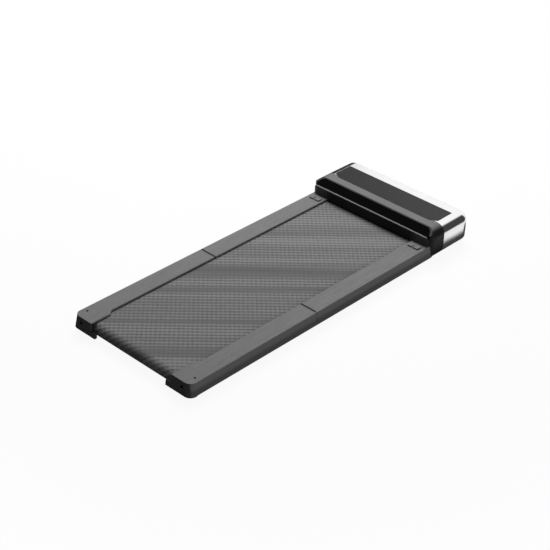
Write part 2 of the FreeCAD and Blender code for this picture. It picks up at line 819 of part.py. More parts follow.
def belt_tension():
    """Blocks that hold the rear axle inside the side tubes, and the screws that draw them."""
    blocks = []
    for side, sign in SIDES.items():
        x = span(sign, "tube_in + tube_wall + block_clearance", "tube_out - tube_wall - block_clearance")
        block = box(f"block_{side}", x, about("rear_roller_y", "block_length / 2"),
                    ("tube_low + tube_wall + block_clearance", "plate_bottom - tube_wall - block_clearance"))
        axle_bore = rod(f"block_bore_{side}", "x", ("rear_roller_y", "axis_z"),
                        "axle_diameter + 2 * running_clearance", span(sign, "tube_in", "tube_out"))
        at = (f"{sign} * tube_mid", "screw_z")
        thread = rod(f"block_thread_{side}", "y", at, "tension_screw_diameter + 2 * running_clearance",
                     about("rear_roller_y", "block_length"))
        blocks.append(trimmed(f"block_cut_{side}", block, axle_bore, thread))
        shank = rod(f"tension_shank_{side}", "y", at, "tension_screw_diameter",
                    ("bar_y", "rear_roller_y + block_length / 2 + tension_screw_end"))
        head = rod(f"tension_head_{side}", "y", at, "tension_head_diameter",
                   ("bar_y - tension_head_length", "bar_y"))
        socket = doc.addObject("Part::Prism", f"tension_socket_{side}")
        socket.Polygon = HEX_SIDES
        socket.Placement = FreeCAD.Placement(Vector(), AXIS_TURNS["y"])
        bind(socket, "Circumradius", "hex_key / sqrt(3)")
        bind(socket, "Height", "tension_head_length / 2 + overshoot")
        bind(socket, "Placement.Base.x", at[0])
        bind(socket, "Placement.Base.y", "bar_y - tension_head_length - overshoot")
        bind(socket, "Placement.Base.z", at[1])
        screw = joined(f"tension_{side}", shank, head)
        keep(f"tension_screw_{side}", trimmed(f"tension_cut_{side}", screw, socket))
    keep("tension_blocks", group("blocks", *blocks))


def feet():
    """Tapered feet under the side tubes and under the head."""
    spots = {
        "front": (("seam_y + foot_from_end", "tube_low"), ("plate_y + foot_diameter", "rail_bottom")),
        "rear": (("tail_y + foot_from_end", "tube_low"), ("seam_y - foot_from_end", "tube_low")),
    }
    for half, pairs in spots.items():
        solids = []
        for order, (y, top) in enumerate(pairs):
            for side, sign in SIDES.items():
                foot = doc.addObject("Part::Cone", f"{half}_foot_{order}_{side}")
                bind(foot, "Radius1", "foot_diameter / 2 - foot_taper")
                bind(foot, "Radius2", "foot_diameter / 2")
                bind(foot, "Height", top)
                bind(foot, "Placement.Base.x", f"{sign} * tube_mid")
                bind(foot, "Placement.Base.y", y)
                solids.append(foot)
        keep(f"{half}_feet", group(f"{half}_foot_set", *solids))


def nose_prism(name, inset):
    """The plan of the head with its rounded front corners, drawn in by an inset."""
    out, near, radius = f"head_out - {inset}", f"head_y + {inset}", f"nose_corner - {inset}"
    plan = [(f"-({out})", near, radius), (out, near, radius), (out, "back_y"), (f"-({out})", "back_y")]
    return profile(name, "z", plan, ("rail_bottom", "head_height"))


def head_form(name, inset):
    """The rounded head, drawn in by an inset: a block with a rolled crown and sill, cut by the visor."""
    out, low, top = f"head_out - {inset}", f"rail_bottom + {inset}", f"head_height - {inset}"
    near, far = f"head_y + {inset}", f"back_y - {inset}"
    corner = f"back_corner - {inset}"
    plan = [(f"-({out})", near), (out, near), (out, far, corner), (f"-({out})", far, corner)]
    block = profile(f"{name}_block", "z", plan, (low, top))
    limits = block.Shape.BoundBox
    for part, radius, level in (("crown", "crown_radius", limits.ZMax), ("sill", "sill_radius", limits.ZMin)):
        rim = face_edges(block.Shape, "z", level, lambda point: point.y > limits.YMin + TOUCH)
        rounded(block, f"{name}_{part}", rim, f"{radius} - {inset}")
    side = [(near, low), (near, f"lip_height - {inset} * lip_turn"),
            (f"head_y + visor_depth + {inset} * brow_turn", top), (far, top), (far, low)]
    return shared(name, block, profile(f"{name}_side", "x", side, (f"-({out})", out)),
                  nose_prism(f"{name}_nose", inset))


def panel_outline(grow):
    """Plan of the top panel, with its near corners cut off."""
    wide, near, far = f"panel_half + {grow}", f"panel_y - {grow}", f"panel_far + {grow}"
    return [(f"-({wide} - panel_corner)", near), (f"{wide} - panel_corner", near),
            (wide, f"{near} + panel_corner_depth"), (wide, far),
            (f"-({wide})", far), (f"-({wide})", f"{near} + panel_corner_depth")]


def mouth_prism(name, grow, low):
    """The front opening of the head as seen from the tail, padded through the visor."""
    wide, corner = f"mouth_half + {grow}", f"mouth_corner + {grow}"
    top = f"head_height - brow_margin + {grow}"
    outline = [(f"-({wide})", low), (wide, low), (wide, top, corner), (f"-({wide})", top, corner)]
    return profile(name, "y", outline, ("head_y - visor_room", "head_y + visor_depth + visor_room"))


def visor_slab(name, x, depth, thickness, start, end):
    """A slab parallel to the slanted visor face, from one share of its slope to another."""
    def corner(share, down):
        return (f"head_y + visor_depth * ({share}) + ({down}) * visor_rise / visor_slope",
                f"lip_height + visor_rise * ({share}) - ({down}) * visor_depth / visor_slope")
    outline = [corner(start, depth), corner(end, depth),
               corner(end, f"{depth} + {thickness}"), corner(start, f"{depth} + {thickness}")]
    return profile(name, "x", outline, x)


def wheel_window(name, sign):
    """Opening in the underside of the head round one transport wheel."""
    return box(name, span(sign, "wheel_in", "wheel_out"), about("wheel_y", "wheel_room"),
               ("0", "wheel_z + wheel_room"))


def head_shells():
    """Bezel, polished wrap and top panel."""
    shell = trimmed("head_shell", head_form("head_outside", "0"), head_form("head_inside", "shell_wall"))
    wide = past(("-head_out", "head_out"))
    tall = past(("0", "head_height"))
    recess = profile("panel_recess", "z", panel_outline("panel_gap"), ("panel_z", "head_height + overshoot"))
    deck_wide, deck_foot, deck_high = "rail_out + panel_gap", "rail_foot + panel_gap", "rail_top + panel_gap"
    deck_outline = [(f"-({deck_foot})", "0"), (f"-({deck_foot})", "rail_bottom"),
                    (f"-({deck_wide})", deck_high), (deck_wide, deck_high),
                    (deck_foot, "rail_bottom"), (deck_foot, "0")]
    deck_room = profile("deck_room", "y", deck_outline, past(("head_y", "bezel_y")))
    mouth = mouth_prism("mouth_room", "fit_gap", "rail_bottom - overshoot")
    nose_room = box("nose_room", wide, ("head_y - overshoot", "bezel_y - shell_joint / 2"), tall)
    keep("head_bezel", trimmed("bezel", shared("head_front", shell, nose_room), recess, deck_room, mouth))
    rear_room = box("rear_room", wide, ("bezel_y + shell_joint / 2", "back_y + overshoot"), tall)
    base_room = box("base_room", grown(("-base_half", "base_half"), "fit_gap"),
                    ("bezel_y - overshoot", "base_far + fit_gap"), ("0", "base_top + overshoot"))
    back_room = box("back_room", grown(about("0", "back_panel_width / 2"), "fit_gap"),
                    past(("back_y - 2 * shell_wall", "back_y")),
                    grown(about("back_panel_z", "back_panel_height / 2"), "fit_gap"))
    windows = [wheel_window(f"wrap_window_{side}", sign) for side, sign in SIDES.items()]
    rear = shared("head_rear", shell, rear_room)
    keep("head_wrap", trimmed("wrap", rear, recess, base_room, back_room, *windows))
    keep("head_top_panel", profile("top_panel", "z", panel_outline("0"), ("panel_z", "head_height")))


def head_front():
    """Lens and fascia in the mouth of the bezel."""
    wide = ("-head_out", "head_out")
    through = ("head_y - visor_room", "head_y + visor_depth + visor_room")
    slab = visor_slab("lens_slab", wide, "lens_recess", "lens_thickness", "-0.5", "1.5")
    room = box("lens_room", wide, through, ("lip_height + fit_gap", "head_height"))
    keep("display_lens", shared("lens", mouth_prism("lens_outline", "0", "rail_top"), slab, room,
                                nose_prism("lens_nose", "lens_recess")))
    foot = "rail_top + panel_gap"
    backing = shared("fascia_backing", mouth_prism("backing_outline", "0", foot),
                     box("backing_room", wide, ("head_y", "head_y + fascia_thickness"), ("0", "lip_height")),
                     nose_prism("backing_nose", "0"))
    step, skirt = "rail_in - overshoot", "belt_top + fascia_gap"
    face = [("-fascia_half", foot), ("-fascia_half", "lip_height", "fascia_corner"),
            ("fascia_half", "lip_height", "fascia_corner"), ("fascia_half", foot),
            (step, foot), (step, skirt), (f"-({step})", skirt), (f"-({step})", foot)]
    raised = profile("fascia_face", "y", face, ("head_y - fascia_overhang", "head_y + fascia_thickness"))
    skirt_top = number("rail_top") + number("panel_gap")
    lip = face_edges(raised.Shape, "y", raised.Shape.BoundBox.YMin, lambda point: point.z > skirt_top + TOUCH)
    rounded(raised, "fascia_lip", lip, "lip_round")
    bowed = shared("fascia_bow", raised, nose_prism("face_nose", "-fascia_overhang"))
    keep("head_fascia", joined("fascia", backing, bowed))


def wheel_ears(side, sign):
    """Two ears on the base plate that carry one wheel's axle."""
    ears = []
    middle = "wheel_y - ear_setback"
    inner, outer = ("wheel_in - ear_thickness", "wheel_in"), ("wheel_out", "wheel_out + ear_thickness")
    for order, ends in enumerate((inner, outer)):
        stretch = span(sign, *ends)
        post = box(f"wheel_post_{side}_{order}", stretch, about(middle, "ear_diameter / 2"),
                   ("rail_bottom", "wheel_z"))
        crown = rod(f"wheel_crown_{side}_{order}", "x", (middle, "wheel_z"), "ear_diameter", stretch)
        ears.append(joined(f"wheel_ear_{side}_{order}", post, crown))
    return ears


def wheel_outline(sign):
    """Half section of a wheel: hub with recessed sides and a chamfered tread."""
    bore, tread = "wheel_axle_diameter / 2 + running_clearance", "wheel_diameter / 2"
    hub = f"{tread} - tread_depth"
    steps = [("0", bore), ("0", hub), ("tread_inset", hub), ("tread_inset", f"{tread} - tread_chamfer"),
             ("tread_inset + tread_chamfer", tread)]
    left = [(f"{sign} * wheel_x - wheel_width / 2 + {step}", radius) for step, radius in steps]
    right = [(f"{sign} * wheel_x + wheel_width / 2 - ({step})", radius) for step, radius in reversed(steps)]
    return left + right


def head_base():
    """Base plate of the head with the wheel ears, its screws, the wheels and their axles."""
    outline = [("-base_half", "base_y"), ("base_half", "base_y"),
               ("base_half", "base_far"), ("-base_half", "base_far")]
    plate = profile("base_plate", "z", outline, ("rail_bottom", "base_top"))
    ears = []
    cuts = []
    axles = []
    centre = ("wheel_y", "wheel_z")
    for side, sign in SIDES.items():
        ears += wheel_ears(side, sign)
        across = span(sign, "wheel_in - ear_thickness", "wheel_out + ear_thickness")
        axles.append(rod(f"wheel_axle_{side}", "x", centre, "wheel_axle_diameter", across))
        cuts.append(wheel_window(f"wheel_window_{side}", sign))
        cuts.append(rod(f"wheel_bore_{side}", "x", centre,
                        "wheel_axle_diameter + 2 * running_clearance", across))
        keep(f"transport_wheel_{side}", revolved(f"wheel_{side}", *centre, wheel_outline(sign)))
    keep("head_base", trimmed("base", joined("base_with_ears", plate, *ears), *cuts))
    keep("wheel_axles", group("axles", *axles))
    screws = []
    for row, y in enumerate(("base_y + screw_margin", "plate_far - screw_margin")):
        for side, sign in SIDES.items():
            for column, x in enumerate(("(tube_mid - foot_diameter)", "tube_mid / 3")):
                screws.append(rod(f"base_screw_{row}_{side}_{column}", "z", (f"{sign} * {x}", y),
                                  "screw_head_diameter", ("rail_bottom - screw_head_height", "rail_bottom")))
    keep("base_screws", group("screws", *screws))


DIGITS = 4


def display():
    """Circuit board with its digits, just behind the lens."""
    across = about("0", "board_length / 2")
    board_share, digit_share = "board_width / 2 / visor_slope", "digit_width / 2 / visor_slope"
    board = visor_slab("board_sheet", across, "board_lift + digit_depth", "board_thickness",
                       *about("0.5", board_share))
    digits = []
    for order in range(DIGITS):
        middle = f"digit_pitch * ({order} - {(DIGITS - 1) / 2})"
        digits.append(visor_slab(f"digit_{order}", about(middle, "digit_length / 2"),
                                 "board_lift", "digit_depth", *about("0.5", digit_share)))
    keep("display_board", joined("board", board, *digits))


def grooved(name, centre, radius, bore):
    """A flanged belt pulley on the left of the rollers."""
    left, right, lip = "-pulley_out", "-roller_half", f"{radius} + pulley_lip"
    groove_left, groove_right = f"{left} + pulley_flange", f"{right} - pulley_flange"
    outline = [(left, bore), (left, lip), (groove_left, lip), (groove_left, radius),
               (groove_right, radius), (groove_right, lip), (right, lip), (right, bore)]
    return revolved(name, *centre, outline)


def motor(centre):
    """Motor can with stepped end bells, its shaft and the saddle that it lies in."""
    bore = "motor_shaft_diameter / 2 + running_clearance"
    boss, bell = "motor_boss_diameter / 2", "motor_radius - motor_bell_step"
    shoulder = "motor_left + motor_boss_length"
    bevel = f"{bell} - motor_bell_chamfer"
    can = [("motor_left", bore), ("motor_left", boss), (shoulder, boss), (shoulder, bevel),
           (f"{shoulder} + motor_bell_chamfer", bell), (f"{shoulder} + motor_bell_length", bell),
           (f"{shoulder} + motor_bell_length", "motor_radius"),
           ("motor_right - motor_bell_length", "motor_radius"), ("motor_right - motor_bell_length", bell),
           ("motor_right - motor_bell_chamfer", bell), ("motor_right", bevel), ("motor_right", bore)]
    keep("drive_motor", revolved("motor_can", *centre, can))
    keep("motor_shaft", rod("shaft", "x", centre, "motor_shaft_diameter",
                            ("-pulley_out", "motor_right - shaft_setback")))
    cradle_x = about("(motor_left + motor_right) / 2", "cradle_length / 2")
    block = box("cradle_block", cradle_x, about("motor_y", "cradle_width / 2"),
                ("plate_top", "motor_height - motor_radius / 2"))
    saddle = rod("cradle_saddle", "x", centre, "motor_diameter + 2 * running_clearance", past(cradle_x))
    keep("motor_cradle", trimmed("cradle", block, saddle))


def controller():
    """Finned controller beside the motor."""
    across = ("controller_left", "controller_right")
    along = ("plate_y + controller_margin", "plate_far - controller_margin")
    top = "plate_top + controller_height"
    case = box("controller_case", across, along, ("plate_top", top))
    count = int((number("controller_length") - number("fin_thickness")) // number("fin_pitch")) + 1
    fins = []
    for order in range(count):
        start = f"controller_left + {order} * fin_pitch"
        fins.append(box(f"fin_{order}", (start, f"{start} + fin_thickness"), along,
                        (f"{top} - overshoot", f"{top} + fin_height")))
    keep("controller", joined("controller_body", case, *fins))


def drive():
    """Motor, pulleys, drive belt and controller on a plate between the side tubes."""
    keep("motor_plate", box("plate", ("-tube_in", "tube_in"), ("plate_y", "plate_far"),
                            ("tube_low", "plate_top")))
    centre = ("motor_y", "motor_height")
    motor(centre)
    keep("motor_pulley", grooved("motor_sheave", centre, "motor_pulley_diameter / 2",
                                 "motor_shaft_diameter / 2 + running_clearance"))
    keep("front_roller_pulley", grooved("roller_sheave", ("front_roller_y", "axis_z"),
                                        "roller_pulley_diameter / 2", "axle_diameter / 2 + pulley_clearance"))
    keep("drive_belt", drive_belt())
    controller()


def drive_belt():
    """Closed belt loop round both pulleys: two arcs and their outer tangents, padded across."""
    grip = number("belt_clearance")
    big, small = number("roller_pulley_diameter") / 2 + grip, number("motor_pulley_diameter") / 2 + grip
    start = Vector(0, number("front_roller_y"), number("axis_z"))
    end = Vector(0, number("motor_y"), number("motor_height"))
    reach = (end - start).Length
    lean = math.atan2(end.z - start.z, end.y - start.y)
    open_angle = math.acos((big - small) / reach)
    up, down = lean + open_angle, lean - open_angle

    def on_circle(centre, radius, angle):
        return centre + Vector(0, radius * math.cos(angle), radius * math.sin(angle))

    def arc(centre, radius, *angles):
        return Part.Arc(*(on_circle(centre, radius, angle) for angle in angles)).toShape()

    def loop(offset):
        first, second = big + offset, small + offset
        upper = Part.LineSegment(on_circle(start, first, up), on_circle(end, second, up)).toShape()
        lower = Part.LineSegment(on_circle(end, second, down), on_circle(start, first, down)).toShape()
        return Part.Face(Part.Wire([upper, arc(end, second, up, lean, down),
                                    lower, arc(start, first, down, lean + math.pi, up)]))

    width = number("drive_belt_width")
    item = doc.addObject("Part::Feature", "drive_loop")
    item.Shape = loop(number("drive_belt_thickness")).cut(loop(0)).extrude(Vector(width, 0, 0))
    item.Placement.Base = Vector(-number("pulley_mid") - width / 2, 0, 0)
    return item


def power_inlet():
    """Three-pin power inlet in the back panel; gives the hole that it needs there."""
    rim_x, rim_z = about("inlet_offset", "inlet_width / 2"), about("back_panel_z", "inlet_height / 2")
    body_x = about("inlet_offset", "socket_width / 2 + inlet_wall")
    body_z = about("back_panel_z", "socket_height / 2 + inlet_wall")
    rim_face, floor = "back_face + inlet_flange", "back_face + inlet_flange - socket_depth"
    flange = box("inlet_rim", rim_x, ("back_face", rim_face), rim_z)
    shroud = box("inlet_shroud", body_x, ("back_face - inlet_depth", rim_face), body_z)
    left, right = about("inlet_offset", "socket_width / 2")
    low, high = about("back_panel_z", "socket_height / 2")
    mouth = [(left, low), (right, low),
             (right, f"{high} - socket_corner"), (f"{right} - socket_corner", high),
             (f"{left} + socket_corner", high), (left, f"{high} - socket_corner")]
    cavity = profile("inlet_cavity", "y", mouth, (floor, f"{rim_face} + overshoot"))
    keep("power_inlet", trimmed("inlet", joined("inlet_body", flange, shroud), cavity))
    pins = []
    for order, (across, up) in enumerate((("-1", "-1"), ("0", "1"), ("1", "-1"))):
        pin_x = about(f"inlet_offset + ({across}) * pin_pitch", "pin_height / 2")
        pin_z = about(f"back_panel_z + ({up}) * pin_stagger", "pin_width / 2")
        pins.append(box(f"inlet_pin_{order}", pin_x, (floor, f"{floor} + pin_length"), pin_z))
    keep("inlet_pins", group("contacts", *pins))
    return box("inlet_hole", grown(body_x, "fit_gap"),
               past(("back_face - back_panel_thickness", "back_face")), grown(body_z, "fit_gap"))


def power_switch():
    """Rocker switch in the back panel; gives the hole that it needs there."""
    middle, z = "-inlet_offset", "back_panel_z"
    case_x = about(middle, "switch_width / 2 - switch_rim_side")
    case_z = about(z, "switch_height / 2 - switch_rim_top")
    rim_face = "back_face + switch_rim_depth"
    rim = box("switch_rim", about(middle, "switch_width / 2"), ("back_face", rim_face),
              about(z, "switch_height / 2"))
    case = box("switch_case", case_x, ("back_face - switch_depth", rim_face), case_z)
    window = box("switch_window", about(middle, "rocker_width / 2 + rocker_gap"),
                 ("back_face - rocker_radius", f"{rim_face} + overshoot"),
                 about(z, "rocker_height / 2 + rocker_room"))
    pivot_y = "back_face - rocker_radius / 2"
    pivot_x = about(middle, "rocker_width / 2 + rocker_gap + pivot_grip")
    pivot_hole = rod("rocker_pivot_hole", "x", (pivot_y, z),
                     "pivot_diameter + 2 * running_clearance", pivot_x)
    keep("switch_frame", trimmed("switch", joined("switch_body", rim, case), window, pivot_hole))
    low, high = about(z, "rocker_height / 2")
    tail, crest, dip = f"{pivot_y} - rocker_tail", "back_face + rocker_crest", "back_face - rocker_dip"
    lobe = [(tail, f"{low} + rocker_taper"), (tail, f"{high} - rocker_taper"),
            (crest, high), (dip, z), (crest, low)]
    paddle = profile("rocker_lobe", "x", lobe, about(middle, "rocker_width / 2"))
    pivot = rod("rocker_pivot", "x", (pivot_y, z), "pivot_diameter", pivot_x)
    keep("power_rocker", joined("rocker", paddle, pivot))
    return box("switch_hole", grown(case_x, "fit_gap"),
               past(("back_face - back_panel_thickness", "back_face")), grown(case_z, "fit_gap"))


def power_entry():
    """Back panel with the power inlet and the rocker switch."""
    sheet = box("back_sheet", about("0", "back_panel_width / 2"),
                ("back_face - back_panel_thickness", "back_face"),
                about("back_panel_z", "back_panel_height / 2"))
    keep("back_panel", trimmed("back_cover", sheet, power_inlet(), power_switch()))


front_frame()
rear_frame()
cross_members("front", "seam_y + cross_margin", "front_roller_y - roller_radius - cross_margin")
cross_members("rear", "rear_roller_y + roller_radius + cross_margin", "seam_y - cross_margin")
deck_boards()
front_rails()
rear_rails()
fold_bumpers()
fold_hinges()
running_belt()
rollers()
belt_tension()
feet()
head_shells()
head_front()
head_base()
display()
drive()
power_entry()

# Every object has to come out whole before anything is written
doc.recompute()
for item in doc.Objects:
    if "Invalid" in item.State or "Error" in item.State:
        raise RuntimeError(f"{item.Label} failed: {item.State}")
os.makedirs("parts", exist_ok=True)
for node, item in parts.items():
    if item.Shape.isNull() or not item.Shape.isValid():
        raise RuntimeError(f"{node} has no valid shape")
    item.Shape.exportStep(f"parts/{node}.step")
print(len(parts), "sub-parts")
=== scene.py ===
import json
import math

import bpy
from mathutils import Matrix, Vector


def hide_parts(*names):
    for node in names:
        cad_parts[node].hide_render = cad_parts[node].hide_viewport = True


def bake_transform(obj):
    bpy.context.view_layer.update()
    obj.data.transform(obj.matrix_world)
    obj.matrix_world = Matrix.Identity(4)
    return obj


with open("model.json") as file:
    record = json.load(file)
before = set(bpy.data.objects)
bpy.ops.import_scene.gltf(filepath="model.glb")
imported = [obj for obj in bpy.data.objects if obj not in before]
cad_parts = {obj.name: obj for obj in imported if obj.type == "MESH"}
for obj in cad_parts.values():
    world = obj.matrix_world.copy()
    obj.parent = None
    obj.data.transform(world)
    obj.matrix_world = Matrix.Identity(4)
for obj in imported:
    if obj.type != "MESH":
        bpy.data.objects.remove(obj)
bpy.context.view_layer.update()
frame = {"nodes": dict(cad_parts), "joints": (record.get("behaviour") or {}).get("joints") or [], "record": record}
scene = bpy.context.scene
scene.view_settings.view_transform = "Standard"

MM = 0.001

# Places and sizes from the frame's joints and the belt's solid, in metres
JOINT_PLACES = {joint["name"]: joint["pos_m"] for joint in frame["joints"]}
SEAM_Y = JOINT_PLACES["fold_hinge"][1]
FRONT_ROLLER_Y = JOINT_PLACES["front_roller_spin"][1]
REAR_ROLLER_Y = JOINT_PLACES["rear_roller_spin"][1]
ROLLER_AXIS_Z = JOINT_PLACES["front_roller_spin"][2]
BELT_POINTS = frame["nodes"]["belt_front"].data.vertices
BELT_HALF = max(vertex.co.x for vertex in BELT_POINTS)
BELT_RADIUS = max(vertex.co.z for vertex in BELT_POINTS) - ROLLER_AXIS_Z
BELT_THICKNESS = 2 * MM

# Where a colour starts to change up a rail's side and over the fascia, and where it has changed
# The rail side span runs from painted shade at the foot to painted light near the top edge
RAIL_SIDE_SHADE_Z = (36 * MM, 48 * MM)
FASCIA_END_X = (190 * MM, 225 * MM)
FASCIA_BACKING_Y = (470.5 * MM, 470.7 * MM)

# How far a face looks along an axis where its colour starts to change, and where it has changed
# TOP_FACING also marks the fascia lip, whose upward faces carry a painted highlight
TOP_FACING = (0.35, 0.85)
# Faces that look to the tail get painted shade
TAIL_SHADE_FACING = (-0.76, -0.68)
# Bezel faces that look up get painted light; the rest get painted shade
BEZEL_LIT_FACING = (0.72, 0.97)
# End plate faces that look up get painted shade
LEDGE_SHADE_FACING = (0.3, 0.7)

# Belt pattern, with the weight of each kind of line in its tone
WEAVE_PERIOD = 6 * MM
ROW_PERIOD = 17 * MM
ROW_WEIGHT = 0.38
THREAD_PERIOD = 15 * MM
THREAD_WEIGHT = 0.15
STRAND_WEIGHT = 0.25
ROW_SLANT = -math.pi / 4

# A wave texture repeats each time its input, times one of these, grows by a full turn
DIAGONAL_RATE = 10
STRAIGHT_RATE = 20

# Camera at the photograph's angle
CAMERA_PLACE = (2.8053, -3.1423, 2.7399)
CAMERA_RIGHT = Vector((0.7222, 0.6910, 0.0306))
CAMERA_DOWN = Vector((0.3912, -0.3715, -0.8420))
CAMERA_FORWARD = Vector((-0.5705, 0.6200, -0.5386))
SENSOR_WIDTH_MM = 36
LENS_MM = 94.44
LENS_SHIFT_X = 0.0218
LENS_SHIFT_Y = -0.0081
CLIP_END = 100

# Key lamp
KEY_PLACE = Vector((-1.16, 1.26, 3.05))
KEY_AIM = Vector((0, 0, 0))
KEY_SIZE = 2.1
KEY_POWER = 118

# Floor, and how much of its colour is plain white to the camera and in reflections
FLOOR_REACH = 14.0
FLOOR_PALE = (0.9, 0.9, 0.9)
FLOOR_DULL = (0.16, 0.16, 0.16)
WHITE_SHARE = 0.93
ALL_WHITE_RADIUS = (0.8, 2.0)
GLOSSY_SHARE = 0.1

# Soft edges of dark cards on the floor and of the lit pool between them, seen in reflections only
CARD_LEVEL = 0.05
NEAR_CARD_X = (0.40, 0.64)
NEAR_CARD_Y = (0.62, 0.70)
FAR_CARD_Y = (0.70, 0.76)
FAR_CARD_SLANT = 0.9
FAR_CARD_EDGE = (0.19, 0.39)
TAIL_CARD_Y = (0.30, 0.45)
# Edge of a painted shadow on the floor along both sides of the part, seen in reflections only
PAINTED_SHADOW_EDGE_X = (0.325, 0.352)
POOL_BACK_Y = (0.80, 0.86)

# Soft edges of white walls and a ceiling among dark flags, by direction, seen in reflections only
FLAG_LEVEL = 0.05
BACK_WALL_Y = (0.25, 0.5)
BACK_WALL_NEAR_X = (0.22, 0.48)
BACK_WALL_FAR_X = (-0.59, -0.542)
SIDE_WALL_X = (0.70, 0.85)
SIDE_WALL_Y = (0.38, 0.52)
CEILING_Z = (0.72, 0.88)
CEILING_Y = (-0.22, 0.0)

# Light from the surroundings, by direction
HEAD_AMBIENT = 0.13
TAIL_AMBIENT = 0.03
HEAD_AMBIENT_Y = (-0.6, 0.1)
SIDE_AMBIENT = 0.25
SIDE_AMBIENT_X = (0.2, 0.6)


def place_camera():
    """The camera that sees the part as the photograph does."""
    data = bpy.data.cameras.new("photo_camera")
    camera = bpy.data.objects.new("photo_camera", data)
    scene.collection.objects.link(camera)
    turn = Matrix((CAMERA_RIGHT, -CAMERA_DOWN, -CAMERA_FORWARD)).transposed().to_4x4()
    camera.matrix_world = Matrix.Translation(CAMERA_PLACE) @ turn
    data.sensor_width = SENSOR_WIDTH_MM
    data.lens = LENS_MM
    data.shift_x = LENS_SHIFT_X
    data.shift_y = LENS_SHIFT_Y
    data.clip_end = CLIP_END
    scene.camera = camera


# Node helpers

def set_input(node, name, value):
    node.inputs[name].default_value = value


class Nodes:
    """A node tree with short ways to add nodes and to join them."""

    interpolation = "LINEAR"

    def __init__(self, tree):
        self.tree = tree

    def node(self, kind, **settings):
        made = self.tree.nodes.new(kind)
        for key, value in settings.items():
            setattr(made, key, value)
        return made

    def wire(self, source, target):
        self.tree.links.new(source, target)

    def feed(self, socket, value):
        """Put a number on a socket, or wire another socket to it."""
        if isinstance(value, (int, float)):
            socket.default_value = value
        else:
            self.wire(value, socket)

    def split(self, vector):
        """The X, Y and Z of a vector."""
        made = self.node("ShaderNodeSeparateXYZ")
        self.wire(vector, made.inputs["Vector"])
        return made.outputs

    def math(self, operation, *values):
        made = self.node("ShaderNodeMath", operation=operation)
        for socket, value in zip(made.inputs, values):
            self.feed(socket, value)
        return made.outputs["Value"]

    def spread(self, source, low, high, span=(0.0, 1.0)):
        """From low to high while the source goes through a span."""
        start, end = span
        made = self.node("ShaderNodeMapRange", interpolation_type=self.interpolation)
        for name, value in (("From Min", start), ("From Max", end), ("To Min", low), ("To Max", high)):
            set_input(made, name, value)
        self.wire(source, made.inputs["Value"])
        return made.outputs["Result"]

    def rise(self, source, span):
        return self.spread(source, 0.0, 1.0, span)

    def fall(self, source, span):
        return self.spread(source, 1.0, 0.0, span)

    def blend(self, factor, first, second):
        """A colour that goes from the first to the second as the factor grows."""
        made = self.node("ShaderNodeMix", data_type="RGBA")
        self.wire(factor, made.inputs["Factor"])
        for name, value in (("A", first), ("B", second)):
            socket = next(s for s in made.inputs if s.name == name and s.type == "RGBA")
            if isinstance(value, tuple):
                socket.default_value = (*value, 1)
            else:
                self.wire(value, socket)
        return next(s for s in made.outputs if s.type == "RGBA")


class Finish(Nodes):
    """A procedural material built up from a principled shader."""

    def __init__(self, name, color, roughness, metallic=0.0, specular=0.5):
        self.material = bpy.data.materials.new(name)
        self.material.use_nodes = True
        super().__init__(self.material.node_tree)
        self.shader = self.tree.nodes["Principled BSDF"]
        set_input(self.shader, "Base Color", (*color, 1))
        set_input(self.shader, "Roughness", roughness)
        set_input(self.shader, "Metallic", metallic)
        set_input(self.shader, "Specular IOR Level", specular)
        self.normal = None

    def coordinates(self, space="Object", stretch=(1, 1, 1), turn=0.0):
        """Coordinates turned about the third axis and then stretched."""
        texture = self.node("ShaderNodeTexCoord")
        mapping = self.node("ShaderNodeMapping")
        set_input(mapping, "Rotation", (0, 0, turn))
        self.wire(texture.outputs[space], mapping.inputs["Vector"])
        scale = self.node("ShaderNodeVectorMath", operation="MULTIPLY")
        scale.inputs[1].default_value = stretch
        self.wire(mapping.outputs["Vector"], scale.inputs[0])
        return scale.outputs["Vector"]

    def noise(self, scale, stretch=(1, 1, 1), detail=4.0, space="Object", turn=0.0):
        texture = self.node("ShaderNodeTexNoise")
        set_input(texture, "Scale", scale)
        set_input(texture, "Detail", detail)
        self.wire(self.coordinates(space, stretch, turn), texture.inputs["Vector"])
        return texture.outputs["Fac"]

    def waves(self, direction, vector, scale=1.0, distortion=0.0):
        texture = self.node("ShaderNodeTexWave", wave_type="BANDS", bands_direction=direction)
        set_input(texture, "Scale", scale)
        set_input(texture, "Distortion", distortion)
        self.wire(vector, texture.inputs["Vector"])
        return texture.outputs["Fac"]

    def color(self, source):
        self.wire(source, self.shader.inputs["Base Color"])

    def roughness(self, source):
        self.wire(source, self.shader.inputs["Roughness"])

    def bump(self, source, distance, strength):
        """Relief on top of any relief that the finish already has."""
        made = self.node("ShaderNodeBump")
        set_input(made, "Distance", distance)
        set_input(made, "Strength", strength)
        self.wire(source, made.inputs["Height"])
        if self.normal is not None:
            self.wire(self.normal, made.inputs["Normal"])
        self.normal = made.outputs["Normal"]
        self.wire(self.normal, self.shader.inputs["Normal"])

    def facing(self, axis):
        """How far a face looks along an axis of its own object."""
        return self.split(self.node("ShaderNodeTexCoord").outputs["Normal"])[axis]

    def place(self, axis):
        """Where a point lies along an axis of its own object."""
        return self.split(self.coordinates())[axis]


# Finishes

def grey(level, cool=0.002):
    """A grey with a trace more blue."""
    return (level, level, level + cool)


def toned(color, share):
    """A colour made lighter or darker by a share."""
    return tuple(channel * (1 + share) for channel in color)


def grained(name, color, roughness, grain=900, depth=0.1 * MM, specular=0.5):
    """One colour with a fine grain and slow changes of gloss."""
    finish = Finish(name, color, roughness, specular=specular)
    gloss_change = 0.07
    gloss = finish.noise(40, detail=3)
    finish.roughness(finish.spread(gloss, roughness - gloss_change, roughness + gloss_change))
    finish.bump(finish.noise(grain, detail=2), depth, strength=0.35)
    return finish


def moulded(name, color, roughness, tone=0.12, **surface):
    """Moulded plastic or rubber: grained, with slow changes of tone."""
    finish = grained(name, color, roughness, **surface)
    slow = finish.noise(7, detail=5)
    finish.color(finish.blend(slow, toned(color, -tone), toned(color, tone)))
    return finish


